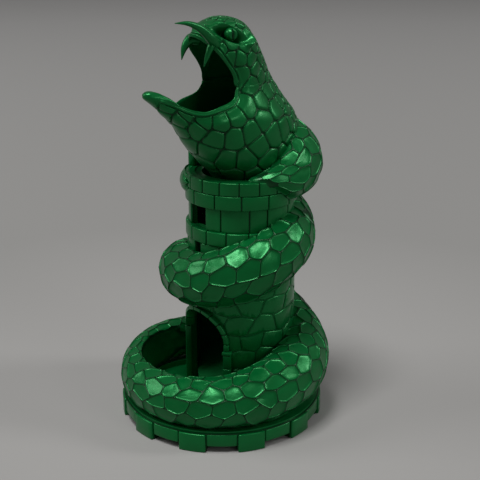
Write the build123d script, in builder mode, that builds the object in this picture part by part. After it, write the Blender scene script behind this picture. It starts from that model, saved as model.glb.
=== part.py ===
from build123d import *

import os
from math import cos, radians, sin, tan

# Serpent dice tower: a round stone tower on a crenellated base, with a serpent coiled around it.
# Dice go in at the serpent's open mouth, drop down its throat, tumble over two baffles and an exit
# ramp inside the tower, and roll out of the arched door into the tray that the lowest coil walls in.
#
# Millimetres, +Z up, origin at the middle of the base on the table, door and mouth facing -Y.
# A turn is an angle in degrees about an upright axis: 0 is the front (-Y), 90 is the right side (+X).

# Fits
glue_gap = 0.12  # between two printed faces that are glued
lift_gap = 0.3  # round everything that lifts off with the head
pin_gap = 0.05  # round a dowel in its hole

# Base
base_radius = 50.0
base_height = 10.3
foot_count = 11
foot_turn = 2.0  # turn of the first foot
foot_span = 15.6  # degrees of the rim that one foot takes
foot_depth = 8.0
foot_drop = 3.0  # how far a foot hangs below the plate
plate_inset = 0.7  # how far the plate's rim lies behind the feet

# Tray: a round pocket in the lowest coil and the base, in front of the tower
tray_radius = 30.0
tray_side = -6.0
tray_ahead = 8.0
tray_depth = 2.8  # how far the pocket goes down into the base
floor_thickness = 1.2  # of the lining plate on the pocket's bottom

# Tower, from the base up
tower_back = 13.0  # the tower stands this far behind the middle of the base
tower_radius = 26.0
tower_wall = 3.5
shaft_height = 79.1
sill_height = 6.6
lantern_height = 11.2
corbel_height = 6.7
crown_height = 6.4
course_proud = 1.1  # how far the courses stand out from the shaft
lantern_inset = 0.4
crown_wall = 4.1
crown_floor = 2.5
spigot_depth = 6.0
spigot_wall = 3.2
merlon_height = 8.0
merlon_span = 22.0
merlon_turns = (-66, -102, -138)

sill_bottom = base_height + shaft_height
sill_top = sill_bottom + sill_height
corbel_bottom = sill_top + lantern_height
corbel_top = corbel_bottom + corbel_height
crown_top = corbel_top + crown_height
bore_radius = tower_radius - tower_wall
course_radius = tower_radius + course_proud
lantern_radius = tower_radius - lantern_inset
spigot_radius = bore_radius - lift_gap
throat_hole = spigot_radius - spigot_wall
throat_radius = throat_hole - glue_gap

# Openings in the tower
door_half_width = 13.8
door_side_height = 30.0  # from the base to where the door's round head starts
arch_band = 1.9
arch_proud = 2.2
jamb_band = 2.7
jamb_proud = 3.2
jamb_height = 26.7
window_width = 12.2
window_side = -2.5  # the window's middle, to the left of the tower's
window_margin = 0.5  # wall left above and below the window
slit_width = 4.0
slit_height = 10.0
slit_side = -1.2
door_spring = base_height + door_side_height

# Inside the tower
baffle_thickness = 2.4
baffle_slope = 42.0
baffle_passage = 27.0  # clear way past and between the baffles, for a large twenty-sided die
baffle_rise = 1.0  # how far over the sill course the upper baffle starts
ramp_back_height = 22.0  # above the base
ramp_lip = 1.2
dowel_radius = 1.0
dowel_length = 10.0
dowel_turns = (80, 180, 280)

# Serpent's head. Its places are (inset from the throat's side, distance ahead of the tower's axis,
# height over the crown), and its level sections are (height over the crown, then how far the front,
# the back and each side stand out from the throat).
head_wall = 2.6
head_sections = [
    (0, 0, 0, 0),
    (7.7, 5.6, 8.1, 0.7),
    (15.7, 12.6, 12.6, 1.7),
    (25.7, 19.6, 7.6, 1.1),
    (33.7, 28.1, 2.1, -1.4),
    (41.7, 36.1, -2.9, -3.5),
    (51.7, 20.1, -9.4, -3.9),
    (59.7, 11.9, -14.4, -4.3),
    (67.7, 9.3, -20.4, -6.7),
    (73.1, 3.1, -27.9, -12.4),
]
cavity_height = 55.0  # the hollow takes the sections below this
mouth_corner = (14, 37.7)
lower_lip = [(57, 45.2), (43, 35.7), (29, 30.7), (18, 33.3), mouth_corner]
upper_lip = [mouth_corner, (15, 43.7), (19.5, 51.7), (26, 58.2), (34, 63.7)]
mouth_top = 80.0
skull_front = 37.0
jaw_parting = 28.0
eye_radius = 3.6
eye_place = (8.5, 12.6, 65.5)
socket_radius = 5.6
socket_place = (5.3, 12.6, 65.5)
fangs = {
    "fang_right": (1, [(10.9, 25, 62.7), (9.7, 35, 66.2), (9.9, 42, 73.2)], 2.2),
    "fang_left": (-1, [(10.9, 21.5, 61.7), (10.3, 26.5, 58.2), (10.9, 27.5, 53.7)], 2.2),
    "small_tooth": (1, [(10.9, 22, 57.7), (10.9, 26.5, 56.2), (11.9, 28.5, 52.3)], 1.5),
}
fang_tip_radius = 0.4
fang_steps = 5
block_reach = 120.0  # of a cutting block, well outside the head


def on_crown(turn, side, rise, half_width, half_height):
    """A station of the body beside the throat, as side from the tower's skin and rise over the crown."""
    return turn, tower_radius + side, crown_top + rise, half_width, half_height, tower_back


def on_tower(turn, side, share, half_width, half_height):
    """A station round the tower, its height a share of the way from the base to the crown."""
    height = base_height + share * (crown_top - base_height)
    return turn, tower_radius + side, height, half_width, half_height, tower_back


def on_base(turn, inset, rise, half_width, half_height, back=0.0):
    """A station over the base's rim, as inset from it and rise over the base."""
    return turn, base_radius - inset, base_height + rise, half_width, half_height, back * tower_back


# The serpent's body from the nape to the tail's tip, and where its turns sit
neck_stations = [
    on_crown(248, -20.0, 24.0, 7.0, 7.0),
    on_crown(222, -9.0, 19.0, 11.0, 11.0),
    on_crown(196, -4.4, 14.2, 13.4, 13.4),
    on_crown(170, -2.5, 9.2, 14.6, 14.6),
    on_crown(140, -2.0, 3.7, 14.8, 15.0),
    on_crown(112, -2.5, -0.8, 11.5, 12.0),
    on_crown(84, -2.5, -3.3, 7.6, 7.8),
    on_crown(58, -1.8, -3.9, 3.6, 4.6),
]
upper_stations = [
    on_tower(-12, -1.6, 0.961, 3.0, 4.6),
    on_tower(-40, -2.0, 0.954, 5.4, 6.2),
    on_tower(-85, -1.0, 0.925, 7.5, 7.5),
    on_tower(-130, -0.5, 0.875, 9.6, 9.6),
    on_tower(-175, -1.0, 0.806, 11.4, 11.4),
]
mid_stations = [
    upper_stations[-1],
    on_tower(-220, -2.4, 0.734, 12.2, 12.2),
    on_tower(-265, -1.0, 0.670, 13.6, 13.6),
    on_tower(-310, 0.6, 0.597, 13.8, 13.8),
    on_tower(-355, 1.4, 0.557, 13.4, 13.2),
    on_tower(-400, 1.5, 0.546, 13.2, 13.2),
    on_tower(-445, 1.2, 0.506, 13.2, 13.2),
    on_tower(-490, 1.4, 0.425, 13.4, 13.4),
]
tray_stations = [
    mid_stations[-1],
    on_base(-535, 20.0, 32.7, 12.8, 14.0, 0.6),
    on_base(-580, 12.0, 19.2, 14.4, 15.0, 0.1),
    on_base(-625, 11.7, 13.7, 13.8, 14.2),
    on_base(-670, 12.0, 9.5, 12.4, 12.4),
    on_base(-715, 10.4, 9.1, 11.0, 11.4),
    on_base(-760, 8.8, 10.1, 8.9, 10.6),
    on_base(-805, 9.4, 11.3, 8.6, 10.6),
    on_base(-845, 9.0, 9.7, 7.4, 9.0, 0.1),
    on_base(-880, 7.0, 5.9, 4.6, 5.6, 0.1),
    on_base(-905, 5.8, 3.1, 1.6, 1.8, 0.1),
]


def tray_outline(gap):
    """The tray's pocket up to the tower's foot, as a sketch on the base, smaller all round by a gap."""
    with BuildSketch(Plane.XY.offset(base_height)) as outline:
        with Locations((tray_side, -tray_ahead)):
            Circle(tray_radius - gap)
        with Locations((0, tower_back)):
            Circle(tower_radius + jamb_proud + glue_gap + gap, mode=Mode.SUBTRACT)
    return outline.sketch


def direction(turn):
    """Unit vector over the ground at a turn."""
    return Vector(sin(radians(turn)), -cos(radians(turn)), 0)


def tube(outer, inner, bottom, top, mode=Mode.ADD):
    """A ring round the tower's axis, in the part being built; a full drum when inner is 0."""
    with BuildSketch(Plane.XY.offset(bottom)) as outline:
        with Locations((0, tower_back)):
            Circle(outer)
            if inner > 0:
                Circle(inner, mode=Mode.SUBTRACT)
    extrude(outline.sketch, amount=top - bottom, mode=mode)


def rim_block(turn, span, outer, inner, bottom, top, axis_y):
    """One block of a ring, spanning some degrees about a turn, in the part being built."""
    half = radians(span / 2)
    reach = 2 * outer
    with BuildSketch(Plane.XY.offset(bottom)) as outline:
        with Locations((0, axis_y)):
            Circle(outer)
            Circle(inner, mode=Mode.SUBTRACT)
        with Locations(Location((0, axis_y, 0), (0, 0, turn - 90))):
            corners = [(0, 0), (reach, -reach * tan(half)), (reach, reach * tan(half))]
            Polygon(*corners, align=None, mode=Mode.INTERSECT)
    extrude(outline.sketch, amount=top - bottom)


def dowels(clearance, mode):
    """The pins between the base and the foot of the tower, or their holes."""
    for turn in dowel_turns:
        middle = direction(turn) * (tower_radius - tower_wall / 2)
        with Locations((middle.X, middle.Y + tower_back, base_height)):
            Cylinder(dowel_radius + clearance, dowel_length + 2 * clearance, mode=mode)


def door_block(band, mode):
    """The door's outline widened by a band, as a block from the tower's axis out past the front."""
    half = door_half_width + band
    with BuildSketch(Plane.XZ.offset(-tower_back)) as outline:
        with BuildLine():
            Polyline((-half, door_spring), (-half, base_height), (half, base_height), (half, door_spring))
            ThreePointArc((half, door_spring), (0, door_spring + half), (-half, door_spring))
        make_face()
    extrude(outline.sketch, amount=2 * tower_radius, mode=mode)


def body(stations):
    """The serpent's body through its stations, each an ellipse in the upright plane of its turn."""
    sections = []
    for turn, reach, height, half_width, half_height, axis_y in stations:
        out = direction(turn)
        middle = Vector(0, axis_y, height) + out * reach
        upright = Plane(origin=middle, x_dir=out, z_dir=out.cross(Vector(0, 0, 1)))
        with BuildSketch(upright) as section:
            Ellipse(half_width, half_height)
        sections.append(section.sketch)
    loft(sections)


def hollow_for_tower():
    """Cuts the tower's outside, with its courses and its door arch, out of the coil being built."""
    spaces = [
        (tower_radius, 0, sill_bottom),
        (course_radius, sill_bottom - glue_gap, sill_top + glue_gap),
        (lantern_radius, sill_top, corbel_bottom),
        (course_radius, corbel_bottom - glue_gap, corbel_top),
    ]
    for radius, bottom, top in spaces:
        tube(radius + glue_gap, 0, bottom, top, mode=Mode.SUBTRACT)
    tube(course_radius + lift_gap, 0, corbel_top, crown_top + merlon_height, mode=Mode.SUBTRACT)
    add(arch_space.part, mode=Mode.SUBTRACT)


def head_point(side, place):
    """A place in the head: side is 1 for the right half and -1 for the left."""
    inset, ahead, rise = place
    return Vector(side * (throat_radius - inset), tower_back - ahead, crown_top + rise)


def from_side(places):
    """Places (ahead, rise) in the head, as points of an outline seen from the side."""
    return [(tower_back - ahead, crown_top + rise) for ahead, rise in places]


def head_body(grow, top, mode):
    """Neck and head as one closed body swollen by grow, with no section above top."""
    tube(throat_radius + grow, 0, corbel_top - spigot_depth, crown_top, mode=mode)
    sections = []
    for rise, front, back, side in head_sections:
        if rise < top:
            with BuildSketch(Plane.XY.offset(crown_top + rise)) as section:
                with Locations((0, tower_back + (back - front) / 2)):
                    Ellipse(throat_radius + side + grow, throat_radius + (front + back) / 2 + grow)
            sections.append(section.sketch)
    loft(sections, mode=mode)


def side_block(corners, mode):
    """A block right across the tower from its outline seen from the side, corners as (y, height)."""
    with BuildSketch(Plane.YZ.offset(-block_reach)) as outline:
        Polygon(*corners, align=None)
    extrude(outline.sketch, amount=2 * block_reach, mode=mode)


def baffle(top, side):
    """A plate sloping down from the bore's wall: side -1 starts at the front, 1 at the back."""
    wall_y = tower_back + side * bore_radius
    edge_y = wall_y - side * baffle_reach
    corners = [
        (wall_y, top),
        (edge_y, top - baffle_drop),
        (edge_y, top - baffle_drop - baffle_upright),
        (wall_y, top - baffle_upright),
    ]
    side_block(corners, Mode.ADD)
    tube(bore_radius - glue_gap, 0, base_height, crown_top, mode=Mode.INTERSECT)


def save(built, label):
    """Labels a finished sub-part and writes it as its own STEP file."""
    built.part.label = label
    export_step(built.part, f"parts/{label}.step")


os.makedirs("parts", exist_ok=True)

# ---- base ----

with BuildPart() as base_plate:
    with BuildSketch(Plane.XY.offset(foot_drop)):
        Circle(base_radius - plate_inset)
    extrude(amount=base_height - foot_drop)
    for foot in range(foot_count):
        turn = foot_turn + foot * 360 / foot_count
        rim_block(turn, foot_span, base_radius, base_radius - foot_depth, 0, base_height, 0)
    extrude(tray_outline(0), amount=-tray_depth - floor_thickness, mode=Mode.SUBTRACT)
    dowels(pin_gap, Mode.SUBTRACT)
save(base_plate, "base_plate")

with BuildPart() as tray_floor:
    floor_outline = tray_outline(glue_gap)
    extrude(floor_outline, amount=-tray_depth - floor_thickness)
    extrude(floor_outline, amount=-tray_depth, mode=Mode.SUBTRACT)
save(tray_floor, "tray_floor")

with BuildPart() as tower_dowels:
    dowels(0, Mode.ADD)
save(tower_dowels, "tower_dowels")

# ---- tower ----

with BuildPart() as tower_shaft:
    tube(tower_radius, bore_radius, base_height, sill_bottom)
    door_block(0, Mode.SUBTRACT)
    with Locations((slit_side, tower_back - tower_radius, sill_bottom - slit_height / 2)):
        Box(slit_width, 4 * tower_wall, slit_height, mode=Mode.SUBTRACT)
    dowels(pin_gap, Mode.SUBTRACT)
save(tower_shaft, "tower_shaft")

with BuildPart() as jambs:
    tube(tower_radius + jamb_proud, tower_radius + glue_gap, base_height, base_height + jamb_height)
    door_block(jamb_band, Mode.INTERSECT)

with BuildPart() as door_arch:
    tube(tower_radius + arch_proud, tower_radius + glue_gap, base_height, sill_bottom)
    door_block(arch_band, Mode.INTERSECT)
    add(jambs.part)
    door_block(0, Mode.SUBTRACT)
save(door_arch, "door_arch")

with BuildPart() as arch_space:
    tube(tower_radius + jamb_proud + glue_gap, 0, base_height, sill_bottom)
    door_block(jamb_band + glue_gap, Mode.INTERSECT)

with BuildPart() as sill_course:
    tube(course_radius, bore_radius, sill_bottom, sill_top)
save(sill_course, "sill_course")

with BuildPart() as lantern:
    tube(lantern_radius, bore_radius, sill_top, corbel_bottom)
    with Locations((window_side, tower_back - lantern_radius, (sill_top + corbel_bottom) / 2)):
        window_height = corbel_bottom - sill_top - 2 * window_margin
        Box(window_width, 4 * tower_wall, window_height, mode=Mode.SUBTRACT)
save(lantern, "lantern")

with BuildPart() as corbel_course:
    tube(course_radius, bore_radius, corbel_bottom, corbel_top)
save(corbel_course, "corbel_course")

baffle_reach = 2 * bore_radius - baffle_passage
baffle_drop = baffle_reach * tan(radians(baffle_slope))
baffle_upright = baffle_thickness / cos(radians(baffle_slope))
passage_upright = baffle_passage / cos(radians(baffle_slope))
passage_drop = baffle_passage * tan(radians(baffle_slope))
upper_baffle_top = sill_top + baffle_rise

with BuildPart() as upper_baffle:
    baffle(upper_baffle_top, -1)
save(upper_baffle, "upper_baffle")

with BuildPart() as lower_baffle:
    baffle(upper_baffle_top - baffle_drop - baffle_upright - passage_upright + passage_drop, 1)
save(lower_baffle, "lower_baffle")

with BuildPart() as exit_ramp:
    ramp_back = tower_back + bore_radius
    ramp_front = tower_back - tower_radius
    ramp_corners = [
        (ramp_back, base_height),
        (ramp_back, base_height + ramp_back_height),
        (ramp_front, base_height + ramp_lip),
        (ramp_front, base_height),
    ]
    side_block(ramp_corners, Mode.ADD)
    tube(bore_radius - glue_gap, 0, base_height, crown_top, mode=Mode.INTERSECT)
save(exit_ramp, "exit_ramp")

# ---- serpent's coils ----

with BuildPart() as upper_coil:
    body(upper_stations)
    hollow_for_tower()
save(upper_coil, "upper_coil")

with BuildPart() as mid_coil:
    body(mid_stations)
    hollow_for_tower()
save(mid_coil, "mid_coil")

with BuildPart() as tray_coil:
    body(tray_stations)
    hollow_for_tower()
    with BuildSketch(Plane.XY.offset(base_height)):
        Circle(2 * base_radius)
    extrude(amount=-4 * base_height, mode=Mode.SUBTRACT)
    extrude(tray_outline(0), amount=door_side_height, mode=Mode.SUBTRACT)
save(tray_coil, "tray_coil")

# ---- head section, which lifts off ----

with BuildPart() as crown_ring:
    tube(course_radius, course_radius - crown_wall, corbel_top, crown_top)
    tube(course_radius - crown_wall, throat_hole, corbel_top, corbel_top + crown_floor)
    tube(spigot_radius, throat_hole, corbel_top - spigot_depth, corbel_top)
save(crown_ring, "crown_ring")

with BuildPart() as crown_merlons:
    for turn in merlon_turns:
        inner = course_radius - crown_wall
        rim_block(turn, merlon_span, course_radius, inner, crown_top, crown_top + merlon_height, tower_back)
    head_body(glue_gap, block_reach, Mode.SUBTRACT)
save(crown_merlons, "crown_merlons")

with BuildPart() as neck_coil:
    body(neck_stations)
    head_body(glue_gap, block_reach, Mode.SUBTRACT)
    tube(course_radius + glue_gap, 0, corbel_top, crown_top + glue_gap, mode=Mode.SUBTRACT)
    tube(course_radius + lift_gap, 0, base_height, corbel_top, mode=Mode.SUBTRACT)
    add(crown_merlons.part, mode=Mode.SUBTRACT)
save(neck_coil, "neck_coil")

with BuildPart() as head_shell:
    head_body(0, block_reach, Mode.ADD)
    head_body(-head_wall, cavity_height, Mode.SUBTRACT)
    with BuildSketch(Plane.YZ.offset(-block_reach)):
        lower_line = from_side(lower_lip)
        upper_line = from_side(upper_lip)
        with BuildLine():
            Spline(*lower_line)
            Spline(*upper_line)
            far_front = -block_reach
            outside = [upper_line[-1], (far_front, crown_top + mouth_top), (far_front, lower_line[0][1])]
            Polyline(*outside, lower_line[0])
        make_face()
    extrude(amount=2 * block_reach, mode=Mode.SUBTRACT)

corner_rise = mouth_corner[1]
skull_outline = from_side(
    [
        (skull_front, corner_rise),
        (-block_reach, corner_rise),
        (-block_reach, block_reach),
        (skull_front, block_reach),
    ]
)
jaw_outline = from_side(
    [
        (block_reach, -crown_height),
        (jaw_parting, -crown_height),
        (jaw_parting, corner_rise),
        (skull_front, corner_rise),
        (skull_front, block_reach),
        (block_reach, block_reach),
    ]
)

with BuildPart() as throat:
    add(head_shell.part)
    side_block(skull_outline, Mode.SUBTRACT)
    side_block(jaw_outline, Mode.SUBTRACT)
save(throat, "throat")

with BuildPart() as lower_jaw:
    add(head_shell.part)
    side_block(jaw_outline, Mode.INTERSECT)
save(lower_jaw, "lower_jaw")

seated_in_skull = []
for name, (side, places, root_radius) in fangs.items():
    with BuildPart() as fang:
        with BuildLine() as spine:
            ThreePointArc(*[head_point(side, place) for place in places])
        for step in range(fang_steps + 1):
            share = step / fang_steps
            with BuildSketch(Plane(origin=spine.line @ share, z_dir=spine.line % share)):
                Circle(root_radius + (fang_tip_radius - root_radius) * share)
        loft()
    save(fang, name)
    seated_in_skull.append(fang)

for name, side in (("eye_right", 1), ("eye_left", -1)):
    with BuildPart() as eye:
        with Locations(head_point(side, eye_place)):
            Sphere(eye_radius)
    save(eye, name)
    seated_in_skull.append(eye)

with BuildPart() as skull:
    add(head_shell.part)
    side_block(skull_outline, Mode.INTERSECT)
    for side in (1, -1):
        with Locations(head_point(side, socket_place)):
            Sphere(socket_radius, mode=Mode.SUBTRACT)
    for seated in seated_in_skull:
        add(seated.part, mode=Mode.SUBTRACT)
save(skull, "skull")
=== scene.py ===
import math
import random

import bmesh
import bpy
import numpy as np
from mathutils import Matrix, Vector


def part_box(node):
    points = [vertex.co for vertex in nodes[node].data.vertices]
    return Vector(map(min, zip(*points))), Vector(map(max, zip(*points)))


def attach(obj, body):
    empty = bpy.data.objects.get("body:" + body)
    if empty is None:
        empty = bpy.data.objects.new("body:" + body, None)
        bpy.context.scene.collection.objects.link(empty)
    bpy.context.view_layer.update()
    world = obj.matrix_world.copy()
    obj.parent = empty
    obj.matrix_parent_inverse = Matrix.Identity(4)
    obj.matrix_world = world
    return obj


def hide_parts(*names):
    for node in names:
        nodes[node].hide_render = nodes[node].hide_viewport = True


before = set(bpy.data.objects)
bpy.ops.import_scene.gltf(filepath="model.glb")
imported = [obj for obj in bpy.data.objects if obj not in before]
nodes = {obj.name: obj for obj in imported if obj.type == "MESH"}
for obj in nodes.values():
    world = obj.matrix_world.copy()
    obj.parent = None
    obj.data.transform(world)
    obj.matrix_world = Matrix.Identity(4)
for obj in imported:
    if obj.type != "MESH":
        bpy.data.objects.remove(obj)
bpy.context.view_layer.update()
mm = 0.001

# heights and radii of the tower, read off the CAD nodes, in mm
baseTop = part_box("base_plate")[1].z / mm
baseRadius = -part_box("base_plate")[0].x / mm
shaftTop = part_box("tower_shaft")[1].z / mm
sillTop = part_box("sill_course")[1].z / mm
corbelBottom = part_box("corbel_course")[0].z / mm
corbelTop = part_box("corbel_course")[1].z / mm
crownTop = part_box("crown_ring")[1].z / mm
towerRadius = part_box("tower_shaft")[1].x / mm
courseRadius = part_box("sill_course")[1].x / mm
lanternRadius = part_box("lantern")[1].x / mm
towerBack = (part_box("tower_shaft")[0].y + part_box("tower_shaft")[1].y) / 2 / mm
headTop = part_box("skull")[1].z / mm
print("frame loaded, tower top at", round(headTop, 1), "mm")


def directionAt(turn, rise):
    # from the middle outwards; turn runs round the tower from its front, in degrees
    turn, rise = math.radians(turn), math.radians(rise)
    return Vector((math.sin(turn) * math.cos(rise), -math.cos(turn) * math.cos(rise), math.sin(rise)))


cameraSetup = {
    "turn": 50.0,
    "elevation": 18.69,
    "distance": 458.15,
    "target": (5.965, 7.109, 87.3),
    "lens": 71.25,
    "clipStart": 0.01,
}


def addCamera(setup):
    back = directionAt(setup["turn"], setup["elevation"])
    camera = bpy.data.objects.new("camera", bpy.data.cameras.new("camera"))
    camera.data.lens = setup["lens"]
    camera.data.clip_start = setup["clipStart"]
    camera.location = (Vector(setup["target"]) + back * setup["distance"]) * mm
    camera.rotation_euler = back.to_track_quat("Z", "Y").to_euler()
    bpy.context.scene.collection.objects.link(camera)
    bpy.context.scene.camera = camera


addCamera(cameraSetup)


plasticLook = {
    "colour": (0.0010, 0.138, 0.030, 1),
    "deepColour": (0.0008, 0.110, 0.023, 1),
    # painted shade for the grooves and hollows, mixed in where the groove attribute is 1
    "grooveShadeColour": (0.0005, 0.034, 0.008, 1),
    "patchScale": 60,  # of the colour's slow changes, per metre
    "patchEnds": (0.3, 0.7),
    "roughness": (0.25, 0.38),
    "metallic": 0.45,
    "coat": 0.10,
    "coatRoughness": 0.18,
    "specular": 0.2,
    "grainSize": 0.35 * mm,
    "grainDepth": 0.035 * mm,
    "waveSize": 5.0 * mm,
    "waveDepth": 0.06 * mm,
}


def addNoise(tree, place, scale, detail):
    noise = tree.nodes.new("ShaderNodeTexNoise")
    noise.inputs["Scale"].default_value = scale
    noise.inputs["Detail"].default_value = detail
    tree.links.new(place.outputs["Object"], noise.inputs["Vector"])
    return noise


def addBump(tree, height, depth):
    bump = tree.nodes.new("ShaderNodeBump")
    bump.inputs["Distance"].default_value = depth
    tree.links.new(height.outputs["Fac"], bump.inputs["Height"])
    return bump


def greenPlastic(name, look, grainScale=1.0):
    material = bpy.data.materials.new(name)
    material.use_nodes = True
    tree = material.node_tree
    shader = tree.nodes["Principled BSDF"]
    place = tree.nodes.new("ShaderNodeTexCoord")
    grain = addNoise(tree, place, 1 / look["grainSize"], 3)
    wave = addNoise(tree, place, 1 / look["waveSize"], 4)
    patches = addNoise(tree, place, look["patchScale"], 3)
    ramp = tree.nodes.new("ShaderNodeValToRGB")
    colours = look["deepColour"], look["colour"]
    for element, position, colour in zip(ramp.color_ramp.elements, look["patchEnds"], colours):
        element.position, element.color = position, colour
    tree.links.new(patches.outputs["Fac"], ramp.inputs["Fac"])
    # painted shade: the groove attribute mixes the deeper green in where joints and hollows would lie in shade
    grooveShade = tree.nodes.new("ShaderNodeAttribute")
    grooveShade.attribute_name = "groove"
    darker = tree.nodes.new("ShaderNodeMix")
    darker.data_type = "RGBA"
    darker.inputs["B"].default_value = look["grooveShadeColour"]
    tree.links.new(grooveShade.outputs["Fac"], darker.inputs["Factor"])
    tree.links.new(ramp.outputs["Color"], darker.inputs["A"])
    tree.links.new(darker.outputs["Result"], shader.inputs["Base Color"])
    gloss = tree.nodes.new("ShaderNodeMapRange")
    gloss.inputs["To Min"].default_value, gloss.inputs["To Max"].default_value = look["roughness"]
    tree.links.new(wave.outputs["Fac"], gloss.inputs["Value"])
    tree.links.new(gloss.outputs["Result"], shader.inputs["Roughness"])
    swell = addBump(tree, wave, look["waveDepth"])
    pores = addBump(tree, grain, look["grainDepth"] * grainScale)
    tree.links.new(swell.outputs["Normal"], pores.inputs["Normal"])
    tree.links.new(pores.outputs["Normal"], shader.inputs["Normal"])
    shader.inputs["Metallic"].default_value = look["metallic"]
    shader.inputs["Specular IOR Level"].default_value = look["specular"]
    shader.inputs["Coat Weight"].default_value = look["coat"]
    shader.inputs["Coat Roughness"].default_value = look["coatRoughness"]
    return material


scaleSkin = greenPlastic("scale_skin", plasticLook)
stoneSkin = greenPlastic("stone_skin", plasticLook, 0.7)
insideSkin = greenPlastic("inside_skin", dict(plasticLook, roughness=(0.4, 0.55), coat=0.0))
print("materials made")

crispAngle = 0.7  # radians; stone edges sharper than this stay crisp
weld = 0.0005 * mm  # verts closer than this are one


def shadeSmooth(bm, crisp):
    for face in bm.faces:
        face.smooth = True
    if crisp:
        for edge in bm.edges:
            edge.smooth = len(edge.link_faces) == 2 and edge.calc_face_angle() < crispAngle


def addPiece(name, bm, body, replaced, material, levels=0):
    bmesh.ops.recalc_face_normals(bm, faces=bm.faces)
    shadeSmooth(bm, material is stoneSkin)
    mesh = bpy.data.meshes.new(name)
    bm.to_mesh(mesh)
    bm.free()
    mesh.materials.append(material)
    piece = bpy.data.objects.new(name, mesh)
    bpy.context.scene.collection.objects.link(piece)
    if levels:
        rounding = piece.modifiers.new("rounding", "SUBSURF")
        rounding.levels = rounding.render_levels = levels
    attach(piece, body)
    if replaced:
        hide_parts(*replaced)
    return piece


def grooveShadeLayer(bm):
    # 1 down in a joint and 0 on the face of a scale or stone; where it is 1 the plastic is painted dark, as shade in
    # the joints
    return bm.verts.layers.float.get("groove") or bm.verts.layers.float.new("groove")


def moveAll(bm, place, unit=1):
    # every vert from its flat place to its real place; place works on whole columns, in mm
    flat = np.array([v.co for v in bm.verts])
    for vert, co in zip(bm.verts, place(*flat.T) * unit):
        vert.co = co


def resize(bm, factor):
    bmesh.ops.scale(bm, verts=bm.verts, vec=(factor, factor, factor))


def joinPart(bm, part):
    # adds another bmesh to bm and frees it
    grooveShadeLayer(bm)
    mesh = bpy.data.meshes.new("part")
    part.to_mesh(mesh)
    part.free()
    bm.from_mesh(mesh)
    bpy.data.meshes.remove(mesh)


def flatBricks(bricks):
    # a flat sheet of staggered bricks; x runs in half bricks from "from" to "to", y in rows
    first, last, rows = bricks["from"], bricks["to"], bricks["rows"]
    around = bricks.get("around")
    bm = bmesh.new()
    bmesh.ops.create_grid(bm, x_segments=last - first + 1, y_segments=rows, size=0.5)
    bmesh.ops.translate(bm, verts=bm.verts, vec=(0.5, 0.5, 0))
    bmesh.ops.scale(bm, verts=bm.verts, vec=(last - first + 1, rows, 1))
    bmesh.ops.translate(bm, verts=bm.verts, vec=(first, 0, 0))
    ends = []
    for face in bm.faces:
        middle = face.calc_center_median()
        shifted = int(middle.y) % 2
        if not first + shifted <= middle.x <= last + shifted:
            ends.append(face)
    bmesh.ops.delete(bm, geom=ends, context="FACES")
    joints = []
    for edge in bm.edges:
        a, b = edge.verts
        if abs(a.co.x - b.co.x) < 0.01 and len(edge.link_faces) == 2:
            row = int((a.co.y + b.co.y) / 2)
            if (round(a.co.x) - first + row) % 2 == 1:
                joints.append(edge)
    bmesh.ops.dissolve_edges(bm, edges=joints, use_verts=False)
    jitterX, jitterY = bricks["jitter"]
    table = {}
    for vert in bm.verts:
        column, row = round(vert.co.x), round(vert.co.y)
        key = ((column - first) % around if around else column, row % bricks.get("ring", rows + 1))
        if key not in table:
            spot = random.Random(bricks["seed"] * 100003 + key[0] * 313 + key[1])
            table[key] = (spot.uniform(-1, 1), spot.uniform(-1, 1))
        edgeRow = not bricks.get("ring") and row in (0, rows)
        lift = bricks["point"] * (1 if (column - first + row) % 2 == 0 else -1)
        vert.co.x += table[key][0] * jitterX
        vert.co.y += 0 if edgeRow else table[key][1] * jitterY + lift
    bmesh.ops.bisect_edges(bm, edges=bm.edges, cuts=2)
    pitchX, pitchY = bricks["pitch"]
    bmesh.ops.scale(bm, verts=bm.verts, vec=(pitchX, pitchY, 1))
    return bm


def raisePlates(bm, plates, profile, seed):
    # grooves between plates: each step is (inset, rise); then a rounded top, each plate tilted a little
    dice = random.Random(seed)
    layer = grooveShadeLayer(bm)
    # the joints' floors are marked for painted shade
    for vert in {v for face in plates for v in face.verts}:
        vert[layer] = 1.0
    for inset, rise in profile["steps"]:
        bmesh.ops.inset_individual(bm, faces=plates, thickness=inset, depth=0, use_even_offset=True)
        for face in plates:
            for vert in face.verts:
                vert.co.z += rise
                vert[layer] = 1.0 if rise < 0 else 0.0
            if profile["rounding"]:
                loop = [v.co.copy() for v in face.verts]
                for i, vert in enumerate(face.verts):
                    nearby = (loop[i - 1] + loop[(i + 1) % len(loop)]) / 2
                    vert.co = loop[i].lerp(nearby, profile["rounding"])
    for face in plates:
        middle = face.calc_center_median()
        slopeX, slopeY = dice.uniform(-1, 1) * profile["tilt"], dice.uniform(-1, 1) * profile["tilt"]
        extra = dice.uniform(-1, 1) * profile["uneven"]
        for vert in face.verts:
            vert.co.z += (vert.co.x - middle.x) * slopeX + (vert.co.y - middle.y) * slopeY + extra
    fresh = bmesh.ops.poke(bm, faces=plates, center_mode="MEAN_WEIGHTED")
    for vert in fresh["verts"]:
        vert.co.z += profile["dome"]
        vert[layer] = 0.0


def smoothStep(low, high, value):
    t = np.clip((value - low) / (high - low), 0, 1)
    return t * t * (3 - 2 * t)


def smoothPath(keys):
    # Catmull-Rom through rows of numbers, as a function of the row's place
    table = np.array(keys, float)

    def at(t):
        t = np.clip(np.asarray(t, float), 0, len(table) - 1 - 1e-9)
        i = np.floor(t).astype(int)
        f = (t - i)[..., None]
        p0, p1 = table[np.clip(i - 1, 0, None)], table[i]
        p2, p3 = table[i + 1], table[np.clip(i + 2, None, len(table) - 1)]
        bend, twist = 2 * p0 - 5 * p1 + 4 * p2 - p3, 3 * p1 - p0 - 3 * p2 + p3
        return 0.5 * (2 * p1 + (p2 - p0) * f + bend * f**2 + twist * f**3)

    return at


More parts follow.
